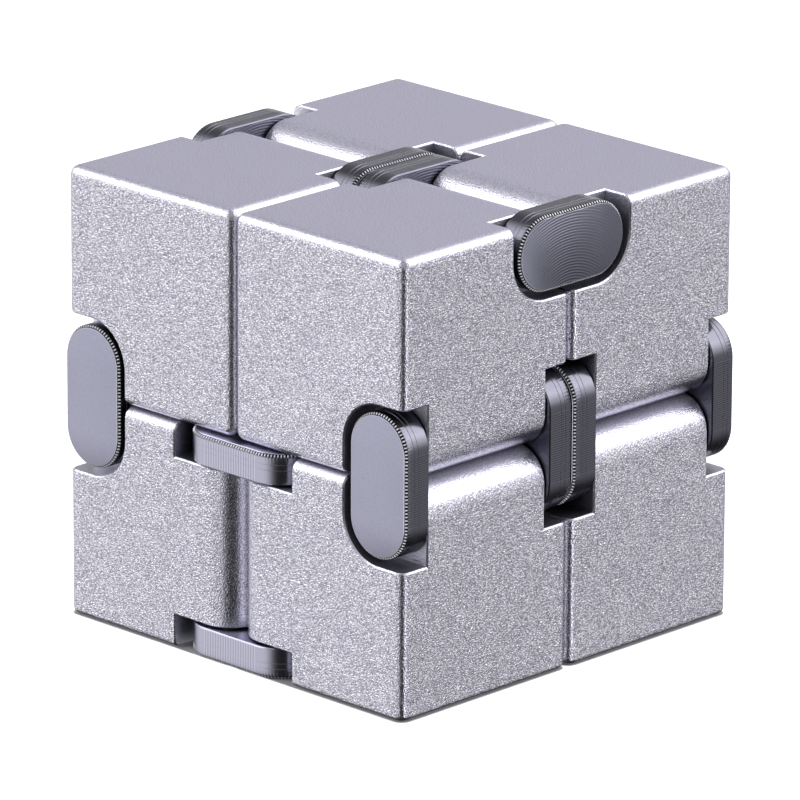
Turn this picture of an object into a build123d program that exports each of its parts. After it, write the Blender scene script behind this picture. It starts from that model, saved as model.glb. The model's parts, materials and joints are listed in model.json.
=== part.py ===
"""Folding fidget cube: eight metal blocks joined into one endless loop by eight double-pivot hinges.

Each hinge has two stadium-shaped link plates and two steel pins. A pin runs through the rounded
edge of one block and is pressed into a blind hole in each plate, so the plates hold both pins side
by side and each block swings on its own pin. Millimetres, +Z up, origin at the middle of the base.
"""

from build123d import *

import os

# Driving dimensions
CUBE = 40.0  # outside width, depth and height of the closed cube
GAP = 0.2  # clearance between neighbouring blocks, and between plates that stand back to back
BARREL_R = 2.95  # rounded hinge edge of a block, centred on its pin
EDGE_R = 0.9  # fillet on a block's other edges
BASE_EDGE_R = 0.5  # smaller fillet round the foot of the blocks that the cube stands on
LINK_R = 3.3  # round ends of a link plate, which stands a little proud of the blocks
LINK_T = 2.75  # thickness of a link plate
LINK_CHAMFER = 0.25  # bevel round the plate face that shows
LINK_EASE = 0.1  # smaller bevel round the plate face that lies against the block
POCKET_DEPTH = 2.9  # depth of a link pocket along the hinge axis
POCKET_CLEARANCE = 0.65  # free space between a link plate's round end and the pocket wall
POCKET_BREAK = 0.13  # deburring chamfer round the rim of a pocket
PIN_R = 1.2  # hinge pin, a press fit in the plates
PIN_CLEARANCE = 0.05  # radial running clearance of the pin in its block
PIN_SEAT = 1.9  # depth of a plate's blind hole
PIN_END_GAP = 0.1  # free space past the end of the pin in that hole
PIN_CHAMFER = 0.2
OVERSHOOT = 1.0  # how far a cut reaches past the faces that it opens
SMALL = 0.01  # slack when the places of edges are compared

# Worked out from them
HALF = CUBE / 2
NEAR = GAP / 2  # distance from the cube's middle planes to a block's inner faces
BLOCK = HALF - NEAR  # edge length of one block
BLOCK_OFFSET = (HALF + NEAR) / 2  # distance from the middle planes to a block's centre
PIN_OFFSET = NEAR + BARREL_R  # distance from a hinge's middle plane to each of its pins
POCKET_R = LINK_R + POCKET_CLEARANCE  # inner corner of a pocket, concentric with the pin
SHARP_EDGE = BLOCK / 2**0.5  # distance from a block's centre to the middle of a sharp edge

X, Y, Z = Vector(1, 0, 0), Vector(0, 1, 0), Vector(0, 0, 1)
CENTRE = Z * HALF

# For each hinge: the way along its axis from the cube's middle, the outward normal of the face that
# it lies in, the way from its first block to its second, and the words for those two sides.
HINGES = {
    "top_left": (-X, Z, Y, ("front", "back")),
    "top_right": (X, Z, Y, ("front", "back")),
    "left_front": (-Y, -X, Z, ("lower", "upper")),
    "left_back": (Y, -X, Z, ("lower", "upper")),
    "right_front": (-Y, X, Z, ("lower", "upper")),
    "right_back": (Y, X, Z, ("lower", "upper")),
    "front": (-Z, -Y, X, ("left", "right")),
    "back": (-Z, Y, X, ("left", "right")),
}

# For each block: the way from the cube's centre to its own, as signs along X, Y and Z.
BLOCKS = {
    f"{level}_{depth}_{side}": X * sign_x + Y * sign_y + Z * sign_z
    for level, sign_z in (("lower", -1), ("upper", 1))
    for depth, sign_y in (("front", -1), ("back", 1))
    for side, sign_x in (("left", -1), ("right", 1))
}


def hinge_plane(along, outward, towards, distance):
    """A plane across a hinge, with its origin on the outer face between the hinge's two blocks.

    Its x axis runs towards one block and its y axis out of the face. The distance is measured
    along the hinge from the cube's middle.
    """
    origin = CENTRE + outward * HALF + along * distance
    return Plane(origin=origin, x_dir=towards, z_dir=towards.cross(outward))


def reach_along(plane, along, length):
    """The signed amount that extrudes from a plane by a length in the direction of a hinge."""
    return length * plane.z_dir.dot(along)


def hinge_sides(corner):
    """The hinges that a block takes part in, each with the way from the hinge to the block."""
    sides = []
    for along, outward, across, _ in HINGES.values():
        if corner.dot(along) > 0 and corner.dot(outward) > 0:
            sides.append((along, outward, across * corner.dot(across)))
    return sides


def make_block(name, corner):
    """One block: two rounded hinge edges, a link pocket at each end of both, and two pin bores."""
    centre = CENTRE + corner * BLOCK_OFFSET
    sides = hinge_sides(corner)
    with BuildPart() as block:
        with Locations(centre):
            Box(BLOCK, BLOCK, BLOCK)
        for along, outward, towards in sides:
            edge_middle = CENTRE + outward * HALF + along * BLOCK_OFFSET + towards * NEAR
            fillet(block.edges().sort_by_distance(edge_middle)[0], radius=BARREL_R)
        straight = block.edges().filter_by(GeomType.LINE)
        sharp = straight.filter_by(lambda edge: (edge.center() - centre).length > SHARP_EDGE - SMALL)
        fillet(sharp.filter_by(lambda edge: edge.center().Z > SMALL), radius=EDGE_R)
        if corner.Z < 0:
            foot = block.faces().sort_by(Axis.Z)[0]
            fillet(foot.edges(), radius=BASE_EDGE_R)
        for along, outward, towards in sides:
            for open_end, into_block in ((NEAR - OVERSHOOT, 1), (HALF + OVERSHOOT, -1)):
                plane = hinge_plane(along, outward, towards, open_end)
                with BuildSketch(plane) as pocket:
                    with Locations((-OVERSHOOT, OVERSHOOT)):
                        Rectangle(
                            OVERSHOOT + PIN_OFFSET + POCKET_R,
                            OVERSHOOT + BARREL_R + POCKET_R,
                            align=(Align.MIN, Align.MAX),
                        )
                    inner_corner = pocket.vertices().sort_by(lambda vertex: vertex.X - vertex.Y)[-1]
                    fillet(inner_corner, radius=POCKET_R)
                depth = (POCKET_DEPTH + OVERSHOOT) * into_block
                extrude(amount=reach_along(plane, along, depth), mode=Mode.SUBTRACT)
                rim = block.edges(Select.LAST).filter_by(lambda edge: not edge.is_interior)
                chamfer(rim, length=POCKET_BREAK)
            plane = hinge_plane(along, outward, towards, NEAR)
            with BuildSketch(plane):
                with Locations((PIN_OFFSET, -BARREL_R)):
                    Circle(PIN_R + PIN_CLEARANCE)
            extrude(amount=reach_along(plane, along, BLOCK), mode=Mode.SUBTRACT)
    block.part.label = f"block_{name}"
    export_step(block.part, f"parts/{block.part.label}.step")


def make_link(hinge, end):
    """One link plate: a stadium with bevelled edges and a blind hole at the centre of each end."""
    along, outward, across, _ = HINGES[hinge]
    shown, into_block = (HALF, -1) if end == "outer" else (NEAR, 1)
    shown_plane = hinge_plane(along, outward, across, shown)
    seat_plane = hinge_plane(along, outward, across, shown + LINK_T * into_block)
    with BuildPart() as link:
        with BuildSketch(shown_plane):
            with Locations((0, -BARREL_R)):
                SlotCenterToCenter(2 * PIN_OFFSET, 2 * LINK_R)
        extrude(amount=reach_along(shown_plane, along, LINK_T * into_block))
        for plane, bevel in ((shown_plane, LINK_CHAMFER), (seat_plane, LINK_EASE)):
            face = link.faces().sort_by_distance(plane.from_local_coords((0, -BARREL_R, 0)))[0]
            chamfer(face.edges(), length=bevel)
        with BuildSketch(seat_plane):
            with Locations((-PIN_OFFSET, -BARREL_R), (PIN_OFFSET, -BARREL_R)):
                Circle(PIN_R)
        extrude(amount=reach_along(seat_plane, along, -PIN_SEAT * into_block), mode=Mode.SUBTRACT)
    link.part.label = f"link_{hinge}_{end}"
    export_step(link.part, f"parts/{link.part.label}.step")


def make_pin(hinge, side, word):
    """One hinge pin, chamfered at both ends, from one plate's blind hole to the other's."""
    along, outward, across, _ = HINGES[hinge]
    end_inset = LINK_T - PIN_SEAT + PIN_END_GAP
    plane = hinge_plane(along, outward, across, NEAR + end_inset)
    with BuildPart() as pin:
        with BuildSketch(plane):
            with Locations((side * PIN_OFFSET, -BARREL_R)):
                Circle(PIN_R)
        extrude(amount=reach_along(plane, along, BLOCK - 2 * end_inset))
        chamfer(pin.edges().filter_by(GeomType.CIRCLE), length=PIN_CHAMFER)
    pin.part.label = f"pin_{hinge}_{word}"
    export_step(pin.part, f"parts/{pin.part.label}.step")


os.makedirs("parts", exist_ok=True)
for block_name, block_corner in BLOCKS.items():
    make_block(block_name, block_corner)
for hinge_name in HINGES:
    for plate_end in ("outer", "inner"):
        make_link(hinge_name, plate_end)
    for pin_side, side_word in zip((-1, 1), HINGES[hinge_name][3]):
        make_pin(hinge_name, pin_side, side_word)
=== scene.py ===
"""Looks, light and camera for the folding fidget cube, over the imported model. Metres, +Z up."""

import json
import math

import bpy
from mathutils import Matrix, Vector


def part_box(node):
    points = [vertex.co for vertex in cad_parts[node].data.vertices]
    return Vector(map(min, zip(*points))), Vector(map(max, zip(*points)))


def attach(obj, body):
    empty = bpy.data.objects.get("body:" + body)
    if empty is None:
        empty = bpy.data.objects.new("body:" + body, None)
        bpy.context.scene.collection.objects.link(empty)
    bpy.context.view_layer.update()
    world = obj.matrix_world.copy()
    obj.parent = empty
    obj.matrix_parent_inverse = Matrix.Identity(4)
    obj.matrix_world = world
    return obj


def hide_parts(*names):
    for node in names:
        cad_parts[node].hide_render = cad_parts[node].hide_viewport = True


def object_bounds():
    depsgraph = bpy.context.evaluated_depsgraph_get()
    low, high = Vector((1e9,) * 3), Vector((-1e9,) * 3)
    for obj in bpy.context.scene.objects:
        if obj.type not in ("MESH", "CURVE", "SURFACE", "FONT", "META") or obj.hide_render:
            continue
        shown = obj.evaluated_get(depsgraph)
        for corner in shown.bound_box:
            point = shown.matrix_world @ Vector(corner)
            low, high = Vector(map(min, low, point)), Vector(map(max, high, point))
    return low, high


MM = 0.001
CUBE = 40 * MM

# Link plate, matching the CAD plate that it replaces
CHAMFER = 0.25 * MM  # bevel round the face that shows
EASE = 0.10 * MM  # bevel round the face against the block
FACE_ROUND = 0.03 * MM  # rounding between the face and its bevel
TOOTH_PITCH = 0.30 * MM  # spacing of the cutter marks along the bevel
TOOTH_DEPTH = 0.11 * MM
TOOTH_POINTS = 4  # outline points on each cutter mark
GROOVE_DEPTH = 0.035 * MM  # fine lines cut round a plate's side
GROOVE_WIDTH = 0.09 * MM
GROOVES = (0.34, 0.52)  # their places, as shares of the plate's thickness
SHARP_ANGLE = math.radians(25)  # faces that meet at more than this keep a crisp edge

# Cutter traces on a link plate
MILLING_CENTRE = (-0.3 * MM, -7.0 * MM, 0)  # where the arcs on the face are centred
MILLING_PITCH = 0.25 * MM
WORN_FROM, WORN_TO = 4 * MM, -1 * MM  # the arcs grow clear between these places along the plate
RIB_PITCH = 0.20  # in millimetres along the rim
RIB_CONTRAST = 0.5
SATIN = 0.10 * MM  # grain between the arcs
WANDER = 3 * MM  # slow bends in the arcs
MARK_DEPTH = 0.018 * MM

# Grain of the blasted aluminium
GRAIN = 0.115 * MM  # pits
GRAIN_DEPTH = 0.13 * MM
GLINT_FLECK = 0.105 * MM  # light and dark flecks: painted glints and pit shading on the grain
CLOUD = 4 * MM  # slow changes of tone
TOOL_MARKS = 0.35 * MM  # in the milled pockets

# Rings and oil on a hinge pin
RING = 0.12 * MM
RING_DEPTH = 0.01 * MM
FILM = 1.5 * MM

# Colours; a pair is the dark and the light end of a blend
# Side and top copies of one blasted silver: the wide blend on the sides paints glints and pit shading
# into the grain; the tops get weaker painted glints and are painted darker
SIDE_SILVER_WITH_PAINTED_GLINTS = ((0.46, 0.455, 0.53), (0.97, 0.96, 1.0))
TOP_SILVER_PAINTED_DARKER = ((0.47, 0.46, 0.54), (0.74, 0.73, 0.83))
CLOUD_SILVER = (0.67, 0.66, 0.78)
# painted highlight: rounded edges and barrels that don't face up are painted lighter
EDGE_HIGHLIGHT_SILVER = (0.84, 0.83, 0.94)
POCKET_SILVER = (0.62, 0.62, 0.70)
# painted shade: the narrow gaps beside the link plates are painted dark
GAP_PAINTED_SHADE = (0.24, 0.24, 0.28)
PLATE_FACE = ((0.22, 0.22, 0.275), (0.34, 0.34, 0.41))
PLATE_SIDE = ((0.12, 0.12, 0.145), (0.25, 0.25, 0.29))
CREST_PAINTED_HIGHLIGHT = (1.0, 1.0, 1.0)  # painted highlight on the ridges left by the cutter on a plate's bevel
# painted shade in the notches between the cutter marks
NOTCH_PAINTED_SHADE = (0.02, 0.02, 0.03)
PIN_STEEL = ((0.52, 0.52, 0.55), (0.66, 0.66, 0.68))
FLOOR_WHITE = ((0.50, 0.50, 0.50), (0.52, 0.52, 0.52))
STUDIO_WHITE = (0.96, 0.955, 1.0, 1)

# Layout of the link pockets, from the cube's middle
BLOCK_MIDDLE = 10.05 * MM
POCKET_START = 7.00 * MM  # along a hinge, from a block's middle
PIN_ACROSS = 3.05 * MM
PIN_OUT = 17.05 * MM
POCKET_REACH = 3.97 * MM  # from a pin to the pocket's wall
NARROW_GAP = 2.2 * MM  # surfaces nearer than this count as closing a gap

# Camera
AZIMUTH = math.radians(44.389)
ELEVATION = math.radians(17.733)
ROLL = math.radians(0.281)
DISTANCE = 0.72036
AIM_RIGHT = 0.00002
AIM_UP = -0.00084
SENSOR = 0.036
FOCAL_SHARE = 10.559  # focal length over the image width

# Floor
FLOOR_HALF = 4.0
FLOOR_DROP = 0.05 * MM  # below the cube's foot, so that the two don't share a plane
FLOOR_MOTTLE = 0.05
FLOOR_LIGHT = 6.8  # even light straight down on the floor alone, in watts a square metre

# Studio surroundings: direction, inner and outer angles in degrees, and change in brightness
SURROUND_BASE = 0.40
GLOWS = {
    "key": ((-0.666, -0.47, 0.58), 12, 33, 2.0),
    "left": ((-0.60, -0.72, -0.20), 25, 55, 0.95),
    "back_right": ((0.305, 0.681, 0.666), 10, 36, 2.2),
    "right_low": ((0.947, 0.098, -0.25), 8, 25, 2.1),
    "right_high": ((0.80, 0.50, 0.33), 8, 24, 1.7),
    "back_left": ((-0.666, 0.681, 0.305), 25, 60, 0.09),
    "back_low": ((-0.64, 0.64, -0.42), 20, 50, 0.22),
}
SHADES = {
    "over_top": ((-0.666, 0.12, 0.73), 8, 28, 0.40),
    "front_floor": ((0.681, -0.666, -0.30), 14, 35, 0.92),
    "underneath": ((0, 0, -1), 44, 70, 0.92),
}

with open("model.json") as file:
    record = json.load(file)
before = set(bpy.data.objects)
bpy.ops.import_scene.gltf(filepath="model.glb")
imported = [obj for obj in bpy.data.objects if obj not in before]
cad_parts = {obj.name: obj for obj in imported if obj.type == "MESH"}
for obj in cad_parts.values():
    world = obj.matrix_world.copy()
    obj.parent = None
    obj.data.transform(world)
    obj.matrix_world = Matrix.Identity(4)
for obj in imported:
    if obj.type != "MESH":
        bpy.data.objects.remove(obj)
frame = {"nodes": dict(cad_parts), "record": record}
cad_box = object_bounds()
cube_centre = Vector((0, 0, CUBE / 2))


# ---------------------------------------------------------------- shader node helpers


def new_material(name):
    """A material with an empty node tree, its Principled shader and its output."""
    material = bpy.data.materials.new(name)
    material.use_nodes = True
    tree = material.node_tree
    tree.nodes.clear()
    shader = tree.nodes.new("ShaderNodeBsdfPrincipled")
    output = tree.nodes.new("ShaderNodeOutputMaterial")
    tree.links.new(shader.outputs["BSDF"], output.inputs["Surface"])
    return material, tree, shader


def node(tree, kind, inputs=None, **properties):
    """Adds a node, sets its properties, and sets or links its inputs."""
    made = tree.nodes.new(kind)
    for name, value in properties.items():
        setattr(made, name, value)
    for key, value in (inputs or {}).items():
        if isinstance(value, bpy.types.NodeSocket):
            tree.links.new(value, made.inputs[key])
        else:
            made.inputs[key].default_value = value
    return made


def math_node(tree, operation, first, second=0.0, third=0.0):
    """The result of a Math node."""
    inputs = {0: first, 1: second, 2: third}
    return node(tree, "ShaderNodeMath", inputs, operation=operation).outputs[0]


def blend_value(tree, factor, low, high):
    """A number between low and high, by a 0 to 1 factor."""
    inputs = {"Value": factor, "To Min": low, "To Max": high}
    return node(tree, "ShaderNodeMapRange", inputs).outputs["Result"]


def blend_colour(tree, factor, low, high):
    """A colour between two, by a 0 to 1 factor."""
    mixer = node(tree, "ShaderNodeMix", {0: factor}, data_type="RGBA")
    for index, colour in ((6, low), (7, high)):
        if isinstance(colour, bpy.types.NodeSocket):
            tree.links.new(colour, mixer.inputs[index])
        else:
            mixer.inputs[index].default_value = (*colour, 1)
    return mixer.outputs[2]


def smooth_range(tree, value, low, high):
    """0 at low and 1 at high, with a smooth change between them."""
    inputs = {"Value": value, "From Min": low, "From Max": high}
    mapped = node(tree, "ShaderNodeMapRange", inputs, interpolation_type="SMOOTHSTEP")
    return mapped.outputs["Result"]


def largest(tree, *values):
    """The largest of several values."""
    highest = values[0]
    for value in values[1:]:
        highest = math_node(tree, "MAXIMUM", highest, value)
    return highest


def noise(tree, vector, size, detail=2.0):
    """Noise with features of about the given size, in metres."""
    inputs = {"Vector": vector, "Scale": 1 / size, "Detail": detail}
    return node(tree, "ShaderNodeTexNoise", inputs).outputs["Fac"]


def object_place(tree):
    """The point's place in the object's own coordinates, so that a pattern moves with its piece."""
    return node(tree, "ShaderNodeTexCoord").outputs["Object"]


# ---------------------------------------------------------------- materials


def pocket_mask(tree, place):
    """1 inside the link pockets of a block and 0 on its blasted outside, from the closed cube's layout.

    A pocket lies near either end of a hinge. Across the hinge it is everything within its corner
    radius of the stretch between the pins and the outer face.
    """
    shifted = node(
        tree,
        "ShaderNodeVectorMath",
        {0: place, 1: tuple(cube_centre)},
        operation="SUBTRACT",
    ).outputs[0]
    x, y, z = node(tree, "ShaderNodeSeparateXYZ", {0: shifted}).outputs
    far = {axis: math_node(tree, "ABSOLUTE", value) for axis, value in (("x", x), ("y", y), ("z", z))}

    def pockets(along, across, outward):
        offset = math_node(tree, "ABSOLUTE", math_node(tree, "SUBTRACT", far[along], BLOCK_MIDDLE))
        at_end = math_node(tree, "GREATER_THAN", offset, POCKET_START)
        past_pin = math_node(tree, "MAXIMUM", math_node(tree, "SUBTRACT", far[across], PIN_ACROSS), 0)
        below_pin = math_node(tree, "MAXIMUM", math_node(tree, "SUBTRACT", PIN_OUT, far[outward]), 0)
        corner = node(tree, "ShaderNodeCombineXYZ", {0: past_pin, 1: below_pin}).outputs[0]
        reach = node(tree, "ShaderNodeVectorMath", {0: corner}, operation="LENGTH").outputs["Value"]
        return math_node(tree, "MULTIPLY", at_end, math_node(tree, "LESS_THAN", reach, POCKET_REACH))

    upper = math_node(tree, "GREATER_THAN", z, 0.0)
    lower = math_node(tree, "LESS_THAN", z, 0.0)
    top_hinges = math_node(tree, "MULTIPLY", pockets("x", "y", "z"), upper)
    face_hinges = math_node(tree, "MULTIPLY", pockets("z", "x", "y"), lower)
    side_hinges = pockets("y", "z", "x")
    return math_node(tree, "MAXIMUM", math_node(tree, "MAXIMUM", top_hinges, side_hinges), face_hinges)


def curved_mask(tree, facing):
    """1 on rounded edges and hinge barrels, and 0 on flat faces, which face straight along an axis."""
    sizes = node(tree, "ShaderNodeVectorMath", {0: facing}, operation="ABSOLUTE").outputs[0]
    along_axes = node(tree, "ShaderNodeSeparateXYZ", {0: sizes}).outputs
    return smooth_range(tree, largest(tree, *along_axes), 0.985, 0.88)


def narrow_gap_mask(tree):
    """1 where other surfaces stand close all round, as in the gap beside a link plate."""
    openness = node(tree, "ShaderNodeAmbientOcclusion", {"Distance": NARROW_GAP}, samples=4)
    return smooth_range(tree, openness.outputs["AO"], 0.50, 0.10)


def blasted_aluminium():
    """Bead-blasted silver aluminium: grain with painted glints and pit shading, strong on the sides and
    weaker on the tops, which are painted darker; a painted highlight on rounded edges; calmer tops and
    link pockets; painted shade in the narrow gaps beside the plates.
    """
    material, tree, shader = new_material("blasted_aluminium")
    place = object_place(tree)
    facing = node(tree, "ShaderNodeTexCoord").outputs["Normal"]
    machined = pocket_mask(tree, place)
    in_gap = math_node(tree, "MULTIPLY", machined, narrow_gap_mask(tree))
    curved = curved_mask(tree, facing)
    upward = smooth_range(tree, node(tree, "ShaderNodeSeparateXYZ", {0: facing}).outputs[2], 0.75, 0.97)

    grain = noise(tree, place, GRAIN, detail=1.0)
    milled = noise(
        tree,
        node(tree, "ShaderNodeMapping", {"Vector": place, "Scale": (0.2, 0.2, 2.0)}).outputs[0],
        TOOL_MARKS,
    )
    calm = largest(
        tree,
        math_node(tree, "MULTIPLY", machined, 0.6),
        math_node(tree, "MULTIPLY", upward, 0.80),
        math_node(tree, "MULTIPLY", curved, 0.68),
    )
    bump = node(
        tree,
        "ShaderNodeBump",
        {
            "Strength": blend_value(tree, calm, 1.0, 0.07),
            "Distance": GRAIN_DEPTH,
            "Height": blend_value(tree, in_gap, grain, milled),
        },
    )

    # Painted glints and pit shading: the flecks lighten and darken the grain's colour
    glint_fleck = noise(tree, place, GLINT_FLECK, detail=0.5)
    glint_speckle = node(tree, "ShaderNodeMapRange", {"Value": glint_fleck, "From Min": 0.36, "From Max": 0.64})
    glint_speckle = glint_speckle.outputs["Result"]
    cloud = noise(tree, place, CLOUD, detail=3.0)
    side_painted_glints = blend_colour(tree, glint_speckle, *SIDE_SILVER_WITH_PAINTED_GLINTS)
    top_painted_darker = blend_colour(tree, glint_speckle, *TOP_SILVER_PAINTED_DARKER)
    # Painted light by facing: upward faces take the darker top copy
    facing_painted_silver = blend_colour(tree, upward, side_painted_glints, top_painted_darker)
    clouded = blend_colour(tree, math_node(tree, "MULTIPLY", cloud, 0.2), facing_painted_silver, CLOUD_SILVER)
    # Painted highlight: rounded edges that don't face up are lightened
    level = math_node(tree, "SUBTRACT", 1.0, upward)
    edge_highlight = math_node(tree, "MULTIPLY", math_node(tree, "MULTIPLY", curved, level), 0.35)
    edge_highlighted = blend_colour(tree, edge_highlight, clouded, EDGE_HIGHLIGHT_SILVER)
    pocket = blend_colour(tree, math_node(tree, "MULTIPLY", machined, 0.6), edge_highlighted, POCKET_SILVER)
    # Painted shade: narrow gaps, found by ambient occlusion, are darkened
    colour = blend_colour(tree, in_gap, pocket, GAP_PAINTED_SHADE)

    blasted_rough = blend_value(tree, cloud, 0.16, 0.22)
    open_rough = blend_value(tree, upward, blasted_rough, 0.62)

    shader.inputs["Metallic"].default_value = 1.0
    tree.links.new(colour, shader.inputs["Base Color"])
    tree.links.new(blend_value(tree, machined, open_rough, 0.36), shader.inputs["Roughness"])
    tree.links.new(bump.outputs["Normal"], shader.inputs["Normal"])
    return material


def milling_arcs(tree, place, wander):
    """Distance from the cutter's centre, and 0 to 1 waves across the arcs that it left."""
    centred = node(tree, "ShaderNodeVectorMath", {0: place, 1: MILLING_CENTRE}, operation="SUBTRACT")
    flat = node(
        tree,
        "ShaderNodeVectorMath",
        {0: centred.outputs[0], 1: (1, 1, 0)},
        operation="MULTIPLY",
    ).outputs[0]
    radius = node(tree, "ShaderNodeVectorMath", {0: flat}, operation="LENGTH").outputs["Value"]
    turns = math_node(tree, "MULTIPLY_ADD", radius, math.tau / MILLING_PITCH, wander)
    return radius, math_node(tree, "MULTIPLY_ADD", math_node(tree, "SINE", turns), 0.5, 0.5)


def side_ribs(tree, along_rim, along_plate):
    """Fine ribs about 0.5, along a plate's straight sides only."""
    straight = math_node(tree, "LESS_THAN", math_node(tree, "ABSOLUTE", along_plate), PIN_ACROSS)
    waves = math_node(tree, "SINE", math_node(tree, "MULTIPLY", along_rim, math.tau / RIB_PITCH))
    ribs = math_node(tree, "MULTIPLY", waves, math_node(tree, "MULTIPLY", straight, RIB_CONTRAST))
    return math_node(tree, "ADD", ribs, 0.5)


def plate_steel(name, arc_contrast, shade):
    """Steel plates: milling arcs across the face, ribbed sides and a notched bevel, with painted
    highlights on its crests, rounding and side grooves and painted shade in its notches; shade scales the
    colours into lighter or darker painted copies.
    """
    material, tree, shader = new_material(name)
    place = object_place(tree)
    rim = node(tree, "ShaderNodeAttribute", attribute_name="rim").outputs["Vector"]
    along_rim, on_side, painted_light = node(tree, "ShaderNodeSeparateXYZ", {0: rim}).outputs
    along_plate = node(tree, "ShaderNodeSeparateXYZ", {0: place}).outputs[0]

    wander = noise(tree, place, WANDER, detail=1.0)
    satin = noise(tree, place, SATIN, detail=1.0)
    radius, arcs = milling_arcs(tree, place, wander)
    worn_away = smooth_range(tree, along_plate, WORN_FROM, WORN_TO)
    clearness = blend_value(tree, worn_away, 0.25 * arc_contrast, arc_contrast)
    face_marks = blend_value(tree, clearness, satin, arcs)
    marks = blend_value(tree, on_side, face_marks, side_ribs(tree, along_rim, along_plate))
    round_centre = node(tree, "ShaderNodeCombineXYZ", {0: math_node(tree, "MULTIPLY", radius, 40.0)})
    scratches = noise(tree, round_centre.outputs[0], 0.5 * MM)
    bump = node(
        tree,
        "ShaderNodeBump",
        {
            "Strength": 0.3 + 0.7 * arc_contrast,
            "Distance": MARK_DEPTH,
            "Height": math_node(tree, "MULTIPLY_ADD", scratches, 0.3, marks),
        },
    )

    # Painted light: shade scales the colours, making lighter and darker copies of one steel
    def painted_lighter_or_darker(colours):
        return [tuple(shade * part for part in colour) for colour in colours]

    face = blend_colour(tree, marks, *painted_lighter_or_darker(PLATE_FACE))
    side = blend_colour(tree, marks, *painted_lighter_or_darker(PLATE_SIDE))
    steel = blend_colour(tree, on_side, face, side)
    # Painted highlight on the bevel's crests, its rounding and the side grooves; painted shade in the
    # notches and at the top of the side
    crest = math_node(tree, "MAXIMUM", painted_light, 0.0)
    notch = math_node(tree, "MAXIMUM", math_node(tree, "MULTIPLY", painted_light, -1.0), 0.0)
    crest_highlighted = blend_colour(tree, crest, steel, CREST_PAINTED_HIGHLIGHT)
    colour = blend_colour(tree, notch, crest_highlighted, NOTCH_PAINTED_SHADE)
    plain_rough = blend_value(tree, on_side, blend_value(tree, wander, 0.24, 0.34), 0.22)

    tree.links.new(blend_value(tree, crest, 1.0, 0.4), shader.inputs["Metallic"])
    tree.links.new(colour, shader.inputs["Base Color"])
    tree.links.new(blend_value(tree, crest, plain_rough, 0.40), shader.inputs["Roughness"])
    tree.links.new(bump.outputs["Normal"], shader.inputs["Normal"])
    return material


def ground_steel():
    """Hinge pins: bright ground steel with faint rings and a thin uneven film of oil."""
    material, tree, shader = new_material("ground_steel")
    place = object_place(tree)
    rings = noise(tree, place, RING, detail=3.0)
    film = noise(tree, place, FILM)
    bump = node(tree, "ShaderNodeBump", {"Strength": 0.15, "Distance": RING_DEPTH, "Height": rings})
    colour = blend_colour(tree, film, *PIN_STEEL)
    shader.inputs["Metallic"].default_value = 1.0
    tree.links.new(colour, shader.inputs["Base Color"])
    tree.links.new(blend_value(tree, film, 0.18, 0.30), shader.inputs["Roughness"])
    tree.links.new(bump.outputs["Normal"], shader.inputs["Normal"])
    return material


def pale_floor():
    """A matt white sweep with the faintest tone."""
    material, tree, shader = new_material("pale_floor")
    place = object_place(tree)
    mottle = noise(tree, place, FLOOR_MOTTLE)
    colour = blend_colour(tree, mottle, *FLOOR_WHITE)
    tree.links.new(colour, shader.inputs["Base Color"])
    shader.inputs["Roughness"].default_value = 0.9
    shader.inputs["Specular IOR Level"].default_value = 0.1
    return material


# ---------------------------------------------------------------- link plates


def stadium(half_straight, radius):
    """Points round a stadium as (centre-line point, outward normal, distance along the outline)."""
    straight = 2 * half_straight
    arc = math.pi * radius
    total = 2 * (straight + arc)
    count = TOOTH_POINTS * round(total / TOOTH_PITCH)
    points = []
    for step in range(count):
        along = total * step / count
        half, rest = divmod(along, straight + arc)
        turn = math.pi * half
        if rest < straight:
            centre = Vector((half_straight - rest, 0))
            angle = math.pi / 2
        else:
            centre = Vector((-half_straight, 0))
            angle = math.pi / 2 + (rest - straight) / radius
        spin = Matrix.Rotation(turn, 2)
        normal = Vector((math.cos(angle), math.sin(angle)))
        points.append((spin @ centre, spin @ normal, along))
    return points


def plate_profile(radius, thickness):
    """Rings from the shown face to the seat, as (radius, height, cutter-mark depth, on side, painted
    light: above 0 a painted highlight, below 0 painted shade).
    """
    top = thickness / 2
    rings = [
        (radius - CHAMFER - FACE_ROUND, top, 0, 0, 0),
        (radius - CHAMFER, top - 0.3 * FACE_ROUND, 0, 0, 0.6),
        (radius - 0.85 * CHAMFER, top - 0.35 * CHAMFER, 0, 1, -1),
        (radius - 0.64 * CHAMFER, top - 0.38 * CHAMFER, TOOTH_DEPTH, 1, 1),
        (radius - 0.16 * CHAMFER, top - 0.84 * CHAMFER, TOOTH_DEPTH, 1, 1),
        (radius, top - CHAMFER - FACE_ROUND, 0.4 * TOOTH_DEPTH, 1, -0.3),
        (radius, top - 1.6 * CHAMFER, 0, 1, 0),
    ]
    for share in GROOVES:
        middle = top - thickness * share
        for offset, depth in ((0.5, 0), (0.2, 1), (-0.2, 1), (-0.5, 0)):
            ring_radius = radius - GROOVE_DEPTH * depth
            rings.append((ring_radius, middle + GROOVE_WIDTH * offset, 0, 1, 0.15 * depth))
    rings += [
        (radius, EASE - top, 0, 1, 0),
        (radius - EASE, -top, 0, 0, 0),
    ]
    return rings


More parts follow.
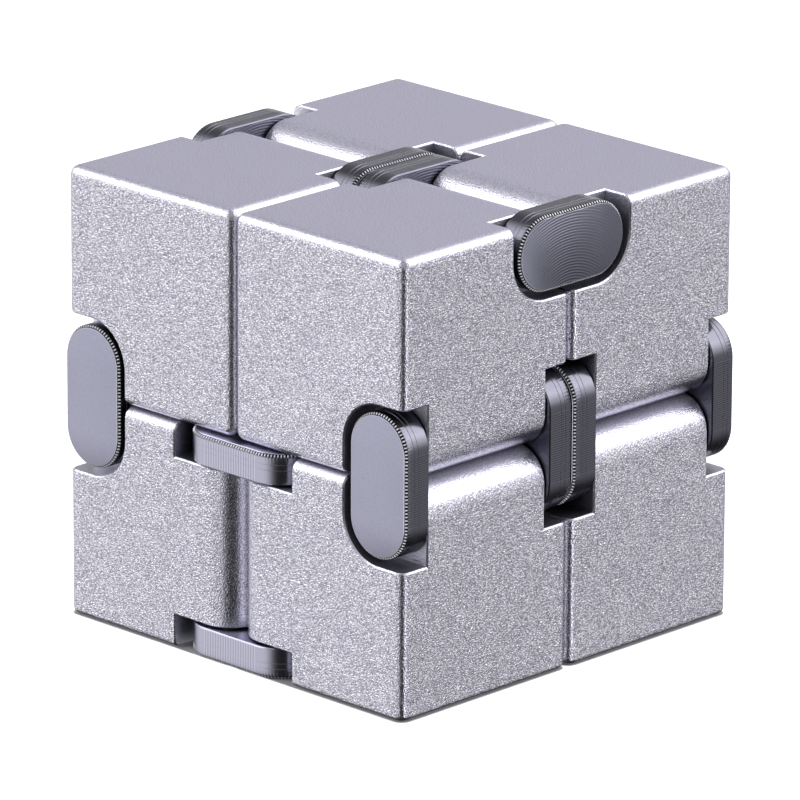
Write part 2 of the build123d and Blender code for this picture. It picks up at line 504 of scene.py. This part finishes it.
def plate_mesh(length, width, thickness):
    """One link plate, centred on its own middle: x between the pins, z out of the shown face."""
    radius = width / 2
    outline = stadium((length - width) / 2, radius)
    rings = plate_profile(radius, thickness)
    vertices, rim_values = [], []
    for ring_radius, height, tooth, on_side, painted_light in rings:
        for step, (centre, normal, along) in enumerate(outline):
            notch = tooth if step % TOOTH_POINTS < TOOTH_POINTS / 2 else 0
            place = centre + normal * (ring_radius - notch)
            vertices.append((place.x, place.y, height))
            # The rim's third value is painted light; notched points take full painted shade
            rim_values.append((along / MM, on_side, -1 if notch else painted_light))
    count = len(outline)
    faces = []
    for ring in range(len(rings) - 1):
        for step in range(count):
            following = (step + 1) % count
            faces.append(
                (
                    ring * count + step,
                    (ring + 1) * count + step,
                    (ring + 1) * count + following,
                    ring * count + following,
                )
            )
    faces.append(tuple(range(count)))
    faces.append(tuple(reversed(range((len(rings) - 1) * count, len(rings) * count))))
    mesh = bpy.data.meshes.new("link_plate")
    mesh.from_pydata(vertices, [], faces)
    rim = mesh.attributes.new("rim", "FLOAT_VECTOR", "POINT")
    rim.data.foreach_set("vector", [number for value in rim_values for number in value])
    mesh.shade_smooth()
    mesh.set_sharp_from_angle(angle=SHARP_ANGLE)
    return mesh


def plate_frame(name):
    """A CAD plate's length, width and thickness, and where it is: its middle and a turn onto its axes."""
    low, high = (Vector(corner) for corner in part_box(name))
    size = high - low
    middle = (low + high) / 2
    thin, wide, long = sorted(range(3), key=lambda axis: size[axis])
    away = middle - cube_centre
    outward, shown = Vector((0, 0, 0)), Vector((0, 0, 0))
    outward[wide] = math.copysign(1, away[wide])
    shown[thin] = math.copysign(1, away[thin]) * (1 if name.endswith("_outer") else -1)
    across = outward.cross(shown)
    turn = Matrix((across, outward, shown)).transposed().to_4x4()
    return (size[long], size[wide], size[thin]), Matrix.Translation(middle) @ turn


def add_plates(steels):
    """Puts a detailed plate in the place of each CAD link plate, riding with that plate's body.

    steels gives the material by the first word of the hinge's name.
    """
    meshes = {}
    for body, members in frame["record"]["behaviour"]["bodies"].items():
        for name in members:
            if not name.startswith("link_"):
                continue
            size, placed = plate_frame(name)
            material = steels[name.split("_")[1]]
            if material.name not in meshes:
                meshes[material.name] = plate_mesh(*size)
                meshes[material.name].materials.append(material)
            plate = bpy.data.objects.new("plate_" + name.removeprefix("link_"), meshes[material.name])
            bpy.context.scene.collection.objects.link(plate)
            plate.matrix_world = placed
            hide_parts(name)
            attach(plate, body)


# ---------------------------------------------------------------- CAD nodes that stay


def dress_cad_nodes(block_material, pin_material):
    """Gives the CAD blocks and pins their materials."""
    for name, item in frame["nodes"].items():
        material = {"block": block_material, "pin": pin_material}.get(name.split("_")[0])
        if material:
            item.data.materials.clear()
            item.data.materials.append(material)


# ---------------------------------------------------------------- stage, light, camera


def add_floor(material):
    """A wide pale floor under the cube."""
    mesh = bpy.data.meshes.new("floor")
    corners = [(FLOOR_HALF * x, FLOOR_HALF * y, 0) for x, y in ((-1, -1), (1, -1), (1, 1), (-1, 1))]
    mesh.from_pydata(corners, [], [(0, 1, 2, 3)])
    mesh.materials.append(material)
    floor = bpy.data.objects.new("floor", mesh)
    floor.location.z = cad_box[0][2] - FLOOR_DROP
    floor.visible_glossy = False  # the metal reflects the studio surroundings instead
    bpy.context.scene.collection.objects.link(floor)
    return floor


def add_floor_light(floor):
    """Even light straight down that reaches the floor only, so the cube shades just its own foot."""
    data = bpy.data.lights.new("floor_light", "SUN")
    data.energy = FLOOR_LIGHT
    data.angle = math.radians(1)
    light = bpy.data.objects.new("floor_light", data)
    light.location.z = 1
    bpy.context.scene.collection.objects.link(light)
    lit = bpy.data.collections.new("lit_floor")
    lit.objects.link(floor)
    light.light_linking.receiver_collection = lit
    shading = bpy.data.collections.new("shading_pieces")
    for name, item in frame["nodes"].items():
        if name.startswith(("block_", "pin_")):
            shading.objects.link(item)
    light.light_linking.blocker_collection = shading


def patch(tree, towards, centre, inner, outer):
    """1 within the inner angle of a direction, falling smoothly to 0 at the outer one, in degrees."""
    aim = tuple(Vector(centre).normalized())
    cosine = node(tree, "ShaderNodeVectorMath", {0: towards, 1: aim}, operation="DOT_PRODUCT")
    edge, middle = math.cos(math.radians(outer)), math.cos(math.radians(inner))
    return smooth_range(tree, cosine.outputs["Value"], edge, middle)


def add_world():
    """Studio surroundings: dim walls, soft glowing panels, and shade below and before the cube."""
    world = bpy.data.worlds.new("studio")
    world.use_nodes = True
    tree = world.node_tree
    towards = node(tree, "ShaderNodeTexCoord").outputs["Generated"]
    brightness = SURROUND_BASE
    for centre, inner, outer, change in GLOWS.values():
        glow = patch(tree, towards, centre, inner, outer)
        brightness = math_node(tree, "MULTIPLY_ADD", glow, change, brightness)
    for centre, inner, outer, change in SHADES.values():
        shade = patch(tree, towards, centre, inner, outer)
        kept = math_node(tree, "MULTIPLY_ADD", shade, -change, 1.0)
        brightness = math_node(tree, "MULTIPLY", brightness, kept)
    background = tree.nodes["Background"]
    background.inputs["Color"].default_value = STUDIO_WHITE
    tree.links.new(brightness, background.inputs["Strength"])
    bpy.context.scene.world = world


def add_camera():
    """The camera: a long lens from the front right corner, a little above the cube."""
    data = bpy.data.cameras.new("camera")
    data.sensor_width = SENSOR * 1000
    data.lens = FOCAL_SHARE * SENSOR * 1000
    data.clip_start = 0.01
    back = Vector(
        (
            math.sin(AZIMUTH) * math.cos(ELEVATION),
            -math.cos(AZIMUTH) * math.cos(ELEVATION),
            math.sin(ELEVATION),
        )
    )
    level = Vector((0, 0, 1)).cross(back).normalized()
    rise = back.cross(level)
    right = level * math.cos(ROLL) + rise * math.sin(ROLL)
    up = back.cross(right)
    camera = bpy.data.objects.new("camera", data)
    turn = Matrix((right, up, back)).transposed().to_4x4()
    place = cube_centre + back * DISTANCE + right * AIM_RIGHT + up * AIM_UP
    camera.matrix_world = Matrix.Translation(place) @ turn
    bpy.context.scene.collection.objects.link(camera)
    bpy.context.scene.camera = camera


add_camera()
# The last number paints light into each steel: the front and back plates much lighter, the side plates a
# little lighter, the top plates a little darker
satin_steel = plate_steel("satin_steel", 0.12, 1.12)
satin_steel_painted_lighter = plate_steel("satin_steel_painted_lighter", 0.12, 2.0)
add_plates(
    {
        "top": plate_steel("milled_steel", 1.0, 0.94),
        "left": satin_steel,
        "right": satin_steel,
        "front": satin_steel_painted_lighter,
        "back": satin_steel_painted_lighter,
    }
)
dress_cad_nodes(blasted_aluminium(), ground_steel())
add_floor_light(add_floor(pale_floor()))
add_world()

scene = bpy.context.scene
scene.view_settings.view_transform = "Standard"
